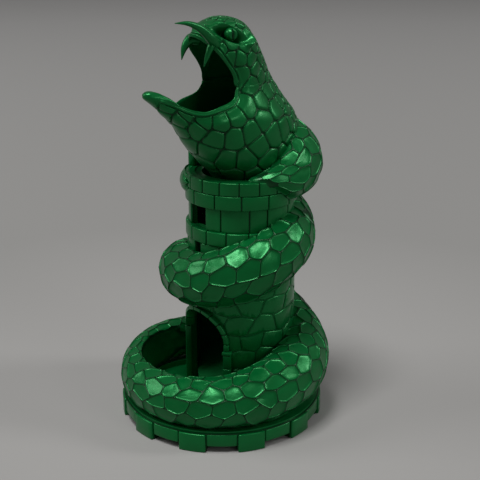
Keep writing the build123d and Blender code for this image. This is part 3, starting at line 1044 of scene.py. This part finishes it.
def headScales():
    # the scales' middles: rows given along the lips and the throat, the rest spread evenly between
    dice = np.random.default_rng(headLook["seed"])
    fixed = []
    front = len(turns) // 2
    for down, pitch in ((-4.8, 8.0), (-12.0, 8.6)):
        for side in (-1, 1):
            column, last = front + side * 2, None
            while 0 < column < len(turns) - 1 and abs(turns[column]) < 1.75:
                p = headPoint(jawLevels, turns[column], np.array(lowerLipHeight[column] + down))
                if abs(p[0]) > 5.0 and (last is None or np.linalg.norm(p - last) > pitch):
                    fixed.append(p)
                    last = p
                column += side
    for z in (119.0, 127.5, 136.0, 144.5, 152.0, 158.4):
        fixed.append(headPoint(jawLevels, 0.0, np.array(z)))
    sample = []
    for levels, low, high in ((jawLevels, headLook["bottom"], lowerLipHeight), (skullLevels, upperLipHeight, 193.3)):
        turn = dice.uniform(-math.pi, math.pi, 26000)
        least = np.interp(turn, turns, low) if levels is skullLevels else low
        most = high if levels is skullLevels else np.interp(turn, turns, high)
        z = least + (most - least) * dice.uniform(0, 1, 26000)
        sample.append(headPoint(levels, turn, z))
    sample = np.concatenate(sample)
    middles = list(fixed)
    for p in sample[dice.permutation(len(sample))[:14000]]:
        if np.min(np.linalg.norm(np.array(middles) - p, axis=1)) > 0.82 * spacingAt(p):
            middles.append(p)
    middles = np.array(middles)
    weight = 1 / spacingAt(sample) ** 4
    for _ in range(12):
        nearest = nearestMiddle(sample, middles)[0]
        for n in range(len(fixed), len(middles)):
            mine = nearest == n
            if mine.any():
                centre = np.average(sample[mine], axis=0, weights=weight[mine])
                middles[n] = sample[mine][np.argmin(np.linalg.norm(sample[mine] - centre, axis=1))]
    return middles


def nearestMiddle(points, middles):
    # for each point its nearest middle, and how far off the border to the next scale is
    first, border = [], []
    for start in range(0, len(points), 8000):
        part = points[start : start + 8000]
        apart = ((part[:, None, :] - middles[None]) ** 2).sum(axis=2)
        order = np.argpartition(apart, 3, axis=1)[:, :4]
        close = np.take_along_axis(apart, order, axis=1)
        rank = np.argsort(close, axis=1)
        order, close = np.take_along_axis(order, rank, axis=1), np.take_along_axis(close, rank, axis=1)
        gaps = []
        for k in (1, 2, 3):
            span = np.linalg.norm(middles[order[:, k]] - middles[order[:, 0]], axis=1)
            gaps.append((close[:, k] - close[:, 0]) / (2 * np.maximum(span, 1e-6)))
        gaps = np.sort(np.stack(gaps), axis=0)
        # two borders that meet round the scale's corner
        border.append(gaps[0] - 0.35 * np.exp(-(gaps[1] - gaps[0]) / 0.6))
        first.append(order[:, 0])
    return np.concatenate(first), np.concatenate(border)


scaleMiddles = headScales()
scaleTilt = np.random.default_rng(5).uniform(-1, 1, (len(scaleMiddles), 4))


def scaleRelief(points):
    # how high the skin stands, and how deep in a groove it is, at each point; the groove share is painted dark too,
    # as shade in the grooves
    flat = points.reshape(-1, 3)
    mine, border = nearestMiddle(flat, scaleMiddles)
    floor, wall, depth = headLook["groove"]
    swell, reach = headLook["crown"]
    size = np.interp(spacingAt(flat), [4.5, 9], [0.6, 1.0])
    groove = 1 - smoothStep(floor, wall, border / size)
    offset = flat - scaleMiddles[mine]
    tilt = (scaleTilt[mine, :3] * offset).sum(axis=1) * 0.045 + scaleTilt[mine, 3] * 0.10
    height = swell * (1 - np.exp(-np.maximum(border, 0) / reach)) + tilt * smoothStep(wall, wall + 0.8, border)
    height = height * size - depth * size * groove
    return height.reshape(points.shape[:-1]), groove.reshape(points.shape[:-1])


def outward(points):
    along = np.gradient(points, axis=1)
    along[:, 0] = along[:, -1] = (points[:, 1] - points[:, -2]) / 2
    normal = np.cross(along, np.gradient(points, axis=0))
    return normal / (np.linalg.norm(normal, axis=-1, keepdims=True) + 1e-12)


brow = {
    "line": [
        (4.2, -11.6, 190.2), (6.8, -9.2, 191.2), (8.7, -4.3, 191.8), (9.7, 1.4, 191.2), (10.8, 5.7, 189.3),
        (11.9, 8.0, 186.1), (12.7, 8.0, 182.9), (13.3, 5.8, 180.9),
    ],
    "height": 3.4,
    "width": 1.2,
}
socket = {"middle": (11.0, -2.4, 186.2), "half": (9.4, 4.0), "slope": 0.40, "depth": 5.4}
nostril = {"middle": (4.2, -12.6, 190.2), "radius": 1.8, "height": 1.3}


def distanceTo(points, line):
    fine = smoothPath(line)(np.linspace(0, len(line) - 1, 60))
    best = np.full(points.shape[:-1], 1e9)
    for p in fine:
        best = np.minimum(best, ((points - p) ** 2).sum(axis=-1))
    return np.sqrt(best)


def skullRelief(points):
    # brows, sockets and nostrils, the same on both sides; the sockets' middles are painted dark as the brows' shadow
    mirrored = points.copy()
    mirrored[..., 0] = np.abs(mirrored[..., 0])
    y, z = mirrored[..., 1] - socket["middle"][1], mirrored[..., 2] - socket["middle"][2]
    up = z + socket["slope"] * y
    ring = np.sqrt((y / socket["half"][0]) ** 2 + (up / socket["half"][1]) ** 2)
    beside = smoothStep(5.0, 8.0, mirrored[..., 0])
    deep = np.interp(y, [-10, -3, 4], [0.45, 1.0, 1.0])
    hollow = -socket["depth"] * deep * (1 - smoothStep(0.35, 1.0, ring)) * beside
    ridge = brow["height"] * np.exp(-((distanceTo(mirrored, brow["line"]) / brow["width"]) ** 2))
    ridge *= np.interp(mirrored[..., 1], [-11, -5], [0.8, 1.0])
    apart = np.linalg.norm(mirrored - nostril["middle"], axis=-1)
    bump = nostril["height"] * np.exp(-((apart / nostril["radius"]) ** 2))
    front = smoothStep(9.5, 12.5, -points[..., 1]) * smoothStep(178, 181, points[..., 2])
    smooth = np.clip(1.2 * np.exp(-((ring / 1.15) ** 4)) + ridge / brow["height"] * 1.1 + front, 0, 1)
    # painted shade in the socket, where the brow's shadow falls
    shade = 0.8 * (1 - smoothStep(0.3, 0.85, ring)) * beside
    return hollow + ridge + bump, smooth, shade


lipLook = {  # height, distance from the mouth's edge, and width
    "rim": (0.7, 0.6, 0.6),
    "outerRim": (0.2, 2.0, 0.4),
    "line": (0.4, 1.4, 0.24),
}


def lipRelief(below):
    # a rolled rim with a second fainter one beside it, how bare of scales the skin is, and the line between the
    # rims, which is painted dark as shade in its crease
    rim, outerRim, line = (np.exp(-(((below - place) / width) ** 2)) for _, place, width in lipLook.values())
    high, low, deep = (height for height, _, _ in lipLook.values())
    return high * rim + low * outerRim - deep * line, 1 - smoothStep(1.6, 2.0, below), line


def rollOver(outerEdge, innerEdge, normal, isLip, count, most):
    # rows that carry the skin over the lip from its outer to its inner edge, standing out towards the mouth
    run = np.gradient(outerEdge, axis=0)
    run[0] = run[-1] = outerEdge[1] - outerEdge[-2]
    away = np.cross(run, normal)
    away = -away / (np.linalg.norm(away, axis=1, keepdims=True) + 1e-9)
    for _ in range(4):
        away[1:-1] = (away[:-2] + away[1:-1] + away[2:]) / 3
    # the tip of the lower jaw is solid and rounded upwards
    tip = smoothStep(31, 40, -outerEdge[:, 1])
    away = away * (1 - tip[:, None]) + tip[:, None] * np.array([0, 0.1, 1])
    swell = np.minimum(np.linalg.norm(outerEdge - innerEdge, axis=1) * 0.5, most + 2.0 * tip) * isLip
    rows = []
    for s in np.linspace(0, 1, count + 2)[1:-1]:
        rows.append(outerEdge * (1 - s) + innerEdge * s + away * (swell * math.sin(math.pi * s) ** 0.7)[:, None])
    return rows


def makeThroat():
    # the outside, the roll of the lower lip and the funnel's wall, as one closed sheet
    rows, lipRows, innerRows = 118, 12, 18
    share = np.linspace(0, 1, rows)[:, None]
    top = lowerLipHeight[None, :]
    z = headLook["bottom"] + (top - headLook["bottom"]) * (1 - (1 - share) ** 1.06)
    turn = np.repeat(turns[None, :], rows, axis=0)
    points = headPoint(jawLevels, turn, z)
    normal = outward(points)
    isLip = smoothStep(0.02, 0.25, headLook["parting"] - 0.05 - top) * np.ones_like(z)
    near = fromEdge(points, lipEdge)
    pinch = headLook["lipPinch"] * (1 - smoothStep(0, headLook["lipReach"], near))
    pinch *= 1 - smoothStep(28, 40, -points[..., 1])
    height, groove = scaleRelief(points)
    rim, plain, line = lipRelief(near)
    bare = smoothStep(35.5, 37.5, -points[..., 1])
    plain, line, rim = np.maximum(plain, bare), line * (1 - bare), rim * (1 - bare)
    height = height * (1 - plain) + rim - pinch
    # painted shade in the scales' grooves and along the lip's line
    groove = np.clip(groove * (1 - plain) + 0.7 * line, 0, 1)
    outer = points + normal * height[..., None]
    inner = []
    edgeHeight = lowerLipHeight.copy()
    for _ in range(8):
        # the inside edge is at the lip's height where it is, behind the chin
        chin = np.interp(edgeHeight, [146, 154, 161], [0, 1.5, headLook["chin"]])
        edge = headPoint(jawLevels, turns, edgeHeight, headLook["wall"], chin)
        sunk = np.interp(edge[:, 1], [p[0] for p in lowerLip], [p[1] for p in lowerLip])
        edgeHeight = 0.5 * edgeHeight + 0.5 * np.minimum(lowerLipHeight, sunk)
    for s in np.linspace(1, 0, innerRows):
        level = headLook["bottom"] + (edgeHeight - headLook["bottom"]) * s
        chin = np.interp(level, [146, 154, 161], [0, 1.5, headLook["chin"]])
        inner.append(headPoint(jawLevels, turns, level, headLook["wall"], chin) * [0.97, 1, 1])
    inner = np.array(inner)
    over = rollOver(outer[-1], inner[0], normal[-1], isLip[-1], lipRows, 1.2)
    sheet = np.concatenate([outer, np.array(over), inner, outer[:1]])
    shade = np.concatenate([groove, np.zeros((lipRows + innerRows, len(turns))), groove[:1]])
    gridPiece(sheet, shade, "throatSkin", "head_section", ["throat", "lower_jaw"])


def makeSkull():
    # the outside, the roll of the upper lip and the palate, as one closed sheet
    rows, lipRows, innerRows = 150, 10, 16
    share = np.linspace(0, 1, rows)[:, None]
    # equal steps over the top, where height alone says little
    table = np.array(skullLevels)
    breadth = 0.5 * np.diff(table[:, 3] + (table[:, 2] - table[:, 1]) / 2)
    run = np.concatenate([[0], np.cumsum(np.hypot(np.diff(table[:, 0]), breadth))])
    start = np.interp(upperLipHeight, table[:, 0], run)[None, :]
    z = np.interp(start + (run[-1] - start) * share, run, table[:, 0])
    turn = np.repeat(turns[None, :], rows, axis=0)
    points = headPoint(skullLevels, turn, z)
    normal = outward(points)
    normal[-3:] = [0, 0, 1]
    lipTurn = smoothStep(0.02, 0.25, upperLipHeight - headLook["parting"] - 0.05)[None, :]
    near = fromEdge(points, lipEdge)
    pinch = headLook["lipPinch"] * (1 - smoothStep(0, headLook["lipReach"], near))
    pinch *= 1 - 0.5 * smoothStep(172, 180, points[..., 2])
    height, groove = scaleRelief(points)
    features, smooth, shade = skullRelief(points)
    rim, plain, line = lipRelief(near)
    height = height * (1 - np.maximum(plain, smooth)) + rim - pinch + features
    # painted shade in the scales' grooves, along the lip's line and in the eye sockets
    groove = np.clip(groove * (1 - np.maximum(plain, smooth)) + 0.7 * line + shade, 0, 1)
    outer = points + normal * height[..., None]
    outer[-1] = outer[-1].mean(axis=0)
    inner = []
    top = np.maximum(headLook["palate"], upperLipHeight + 0.5)
    for s in np.linspace(0, 1, innerRows):
        level = upperLipHeight + (top - upperLipHeight) * math.sin(s * math.pi / 2)
        shrink = headLook["wall"] + 14 * (1 - math.cos(s * math.pi / 2))
        inner.append(headPoint(skullLevels, turns, level, shrink))
    inner = np.array(inner)
    inner[-1] = inner[-1].mean(axis=0)
    over = rollOver(outer[0], inner[0], -normal[0], lipTurn[0], lipRows, 1.1)[::-1]
    sheet = np.concatenate([inner[::-1], np.array(over), outer])
    shade = np.concatenate([np.zeros((innerRows + lipRows, len(turns))), groove])
    gridPiece(sheet, shade, "skullSkin", "head_section", ["skull"])


makeThroat()
makeSkull()
print("head skins made,", len(scaleMiddles), "scales")


def horn(name, node, line, radii):
    # a curved tooth along a line, thick at its root
    around, along = 16, 28
    path = smoothPath([tuple(p) + (r,) for p, r in zip(line, radii)])(np.linspace(0, len(line) - 1, along))
    points = []
    tangents = np.gradient(path[:, :3], axis=0)
    aside = np.array([1.0, 0.0, 0.0])
    for spot, tangent in zip(path, tangents):
        tangent = tangent / np.linalg.norm(tangent)
        first = aside - tangent * np.dot(aside, tangent)
        first /= np.linalg.norm(first)
        other = np.cross(tangent, first)
        angle = np.linspace(0, 2 * math.pi, around + 1)[:, None]
        points.append(spot[:3] + spot[3] * (np.cos(angle) * first + np.sin(angle) * other))
    points.insert(0, np.repeat(path[:1, :3], around + 1, axis=0))
    points.append(np.repeat(path[-1:, :3] + tangents[-1] * 0.3, around + 1, axis=0))
    points = np.array(points)
    gridPiece(points, np.zeros(points.shape[:2]), name, "head_section", [node])


fangs = {  # the node each stands for, its line from the root to the tip, and its radii
    "rightFang": (
        "fang_right",
        [
            (7.6, -7.0, 181.0), (9.0, -11.5, 184.3), (9.0, -14.3, 186.9), (8.9, -17.7, 189.4), (8.8, -21.4, 191.1),
            (8.7, -25.3, 192.1), (8.6, -30.8, 192.4),
        ],
        [2.3, 2.4, 2.1, 1.75, 1.35, 0.9, 0.2],
    ),
    "leftFang": (
        "fang_left",
        [(-6.9, -6.6, 182.4), (-7.6, -9.6, 182.9), (-8.1, -12.0, 181.4), (-8.3, -13.9, 178.4), (-8.0, -15.4, 174.1)],
        [2.6, 2.7, 2.1, 1.35, 0.2],
    ),
    "smallTooth": (
        "small_tooth",
        [
            (7.6, -8.6, 182.8), (8.2, -11.1, 181.4), (8.3, -12.6, 179.1), (8.1, -13.6, 176.6), (8.0, -14.4, 174.7),
            (7.9, -15.1, 172.6),
        ],
        [1.6, 1.7, 1.35, 1.0, 0.65, 0.15],
    ),
}
for name, (node, line, radii) in fangs.items():
    horn(name, node, line, radii)


eyeLook = {
    "radius": 3.0,
    "middle": (8.8, -0.6, 185.7),
    "turn": -12,  # degrees towards the front
    "slit": 0.5,
    "slitDepth": 1.1,
    "rim": (0.25, 0.62, 0.12),  # how high the iris's rim stands, and where it is and how wide, in radii
}


def makeEye(name, side, node, look):
    bm = bmesh.new()
    bmesh.ops.create_uvsphere(bm, u_segments=48, v_segments=32, radius=look["radius"])
    layer = grooveShadeLayer(bm)
    rimHeight, rimPlace, rimWidth = look["rim"]
    for vert in bm.verts:
        # an upright slit in the side that looks out, painted dark down in it as shade
        x, y, z = vert.co
        if x * side > 0:
            gape = max(0.0, 1 - (z / (look["radius"] * 0.86)) ** 2)
            depth = 1 - float(smoothStep(look["slit"] * gape, look["slit"] * gape + 0.4, abs(y)))
            vert.co.x -= side * depth * look["slitDepth"] * min(1, gape * 4)
            # painted shade down in the slit
            vert[layer] = depth * min(1, gape * 4)
            away = math.hypot(y, z) / look["radius"]
            vert.co.x += side * rimHeight * math.exp(-(((away - rimPlace) / rimWidth) ** 2))
    middle = Vector(look["middle"])
    middle.x *= side
    turn = Matrix.Rotation(math.radians(look["turn"] * side), 4, "Z")
    bmesh.ops.transform(bm, matrix=Matrix.Scale(mm, 4) @ Matrix.Translation(middle) @ turn, verts=bm.verts)
    addPiece(name, bm, "head_section", [node], scaleSkin)


makeEye("rightEye", 1, "eye_right", eyeLook)
makeEye("leftEye", -1, "eye_left", eyeLook)
print("teeth and eyes made")


insideNodes = ("upper_baffle", "lower_baffle", "exit_ramp")
for name, node in nodes.items():
    node.data.materials.clear()
    node.data.materials.append(insideSkin if name in insideNodes else stoneSkin)


studio = {
    # the floor's colour by distance from the middle is painted light and shade: lighter near the tower and far off,
    # painted dark at about 0.3 m as the lamps' falloff
    "floor": [(0.04, (0.295, 0.289, 0.282, 1)), (0.30, (0.228, 0.225, 0.218, 1)), (1.9, (0.272, 0.268, 0.264, 1))],
    "floorHalf": 40,
    "floorRoughness": 0.7,
    "world": (0.5, 0.492, 0.484, 1),
    "worldStrength": 0.33,
    "lampAim": (0, 0, 0.09),
    "lamps": {  # turn and height in degrees, distance, width and length in metres, and watts
        "keyLamp": (6, 72, 3.6, (1.2, 1.2), 97),
        "rimLamp": (140, 32, 4.2, (0.7, 1.6), 52),
        "sideLamp": (97, 24, 3.6, (1.0, 1.0), 13),
        "fillLamp": (-42, 34, 3.6, (1.6, 1.4), 38),
    },
}


def addFloor(setup):
    bm = bmesh.new()
    bmesh.ops.create_grid(bm, x_segments=8, y_segments=8, size=setup["floorHalf"])
    mesh = bpy.data.meshes.new("studioFloor")
    bm.to_mesh(mesh)
    bm.free()
    floor = bpy.data.objects.new("studioFloor", mesh)
    material = bpy.data.materials.new("studio_floor")
    material.use_nodes = True
    tree = material.node_tree
    shader = tree.nodes["Principled BSDF"]
    place = tree.nodes.new("ShaderNodeTexCoord")
    apart = tree.nodes.new("ShaderNodeVectorMath")
    apart.operation = "LENGTH"
    fade = tree.nodes.new("ShaderNodeMapRange")
    reach = setup["floor"][-1][0]
    fade.inputs["From Max"].default_value = reach
    # painted light and shade on the floor, by distance from the middle
    floorPaintedLight = tree.nodes.new("ShaderNodeValToRGB")
    floorPaintedLight.color_ramp.elements.new(0.5)
    for element, (away, colour) in zip(floorPaintedLight.color_ramp.elements, setup["floor"]):
        element.position = away / reach
        element.color = colour
    tree.links.new(place.outputs["Object"], apart.inputs[0])
    tree.links.new(apart.outputs["Value"], fade.inputs["Value"])
    tree.links.new(fade.outputs["Result"], floorPaintedLight.inputs["Fac"])
    tree.links.new(floorPaintedLight.outputs["Color"], shader.inputs["Base Color"])
    shader.inputs["Roughness"].default_value = setup["floorRoughness"]
    mesh.materials.append(material)
    bpy.context.scene.collection.objects.link(floor)


def addLamp(name, turn, rise, distance, size, power):
    away = directionAt(turn, rise)
    lamp = bpy.data.objects.new(name, bpy.data.lights.new(name, "AREA"))
    lamp.data.shape = "RECTANGLE"
    lamp.data.size, lamp.data.size_y = size
    lamp.data.energy = power
    lamp.location = Vector(studio["lampAim"]) + away * distance
    lamp.rotation_euler = away.to_track_quat("Z", "Y").to_euler()
    bpy.context.scene.collection.objects.link(lamp)


def addWorld(setup):
    world = bpy.data.worlds.new("studio")
    world.use_nodes = True
    background = world.node_tree.nodes["Background"]
    background.inputs["Color"].default_value = setup["world"]
    background.inputs["Strength"].default_value = setup["worldStrength"]
    bpy.context.scene.world = world


addFloor(studio)
addWorld(studio)
for name, lamp in studio["lamps"].items():
    addLamp(name, *lamp)
bpy.context.scene.view_settings.view_transform = "Standard"
print("studio lit")
